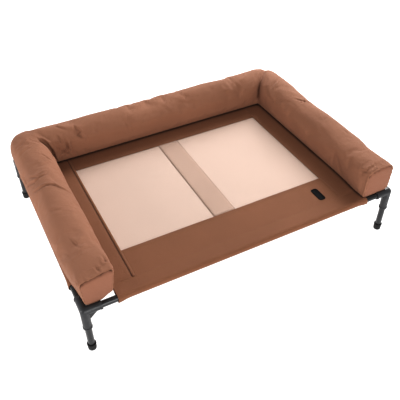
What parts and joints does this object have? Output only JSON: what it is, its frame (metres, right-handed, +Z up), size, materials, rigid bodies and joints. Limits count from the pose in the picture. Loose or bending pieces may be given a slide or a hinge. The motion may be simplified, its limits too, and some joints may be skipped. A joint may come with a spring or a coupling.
{
  "type": "dog sofa",
  "caption": "Raised dog bed on a push-fit tube frame with a fabric and mesh sling and a stuffed U-shaped bolster that lifts off.",
  "frame": {"origin": "on the floor under the middle of the tube frame", "axes": "+X to the right along the length, +Y to the back, +Z up; the open front faces -Y"},
  "size_m": [1.0938, 0.7886, 0.3021],
  "materials": {
    "tube_paint": "satin",
    "corner_plastic": "satin",
    "foot_rubber": "matte",
    "sling_cloth": "matte",
    "mesh_cloth": "matte",
    "strip_cloth": "matte",
    "patch_rubber": "satin",
    "bolster_cloth": "matte",
    "end_cloth": "matte",
    "touch_strip": "matte",
    "zip_tape": "matte",
    "zip_metal": "satin"
  },
  "bodies": {
    "frame": {"front_rail": "tube_paint", "back_rail": "tube_paint", "left_rail": "tube_paint", "right_rail": "tube_paint", "corner_front_left": "corner_plastic", "leg_front_left": "tube_paint", "foot_front_left": "foot_rubber", "corner_front_right": "corner_plastic", "leg_front_right": "tube_paint", "foot_front_right": "foot_rubber", "corner_back_right": "corner_plastic", "leg_back_right": "tube_paint", "foot_back_right": "foot_rubber", "corner_back_left": "corner_plastic", "leg_back_left": "tube_paint", "foot_back_left": "foot_rubber", "front_band": "sling_cloth", "back_band": "sling_cloth", "left_band": "sling_cloth", "right_band": "sling_cloth", "mesh_left": "mesh_cloth", "mesh_right": "mesh_cloth", "centre_strip": "strip_cloth", "patch": "patch_rubber", "loop_strip_left": "touch_strip", "loop_strip_back": "touch_strip", "loop_strip_right": "touch_strip"},
    "bolster": {"bolster_left": "bolster_cloth", "bolster_back": "bolster_cloth", "bolster_right": "bolster_cloth", "end_panel_left": "end_cloth", "end_panel_right": "end_cloth", "hook_strip_left": "touch_strip", "hook_strip_back": "touch_strip", "hook_strip_right": "touch_strip", "zip_tape": "zip_tape"},
    "zip_slider": {"zip_slider": "zip_metal"}
  },
  "joints": [
    {"name": "bolster_lift", "type": "slide", "parent": "frame", "child": "bolster", "axis": [0, 0, 1], "range_m": [0, 0.15]},
    {"name": "zip_slide", "type": "slide", "parent": "bolster", "child": "zip_slider", "axis": [1, 0, 0], "range_m": [0, 0.3724]}
  ]
}
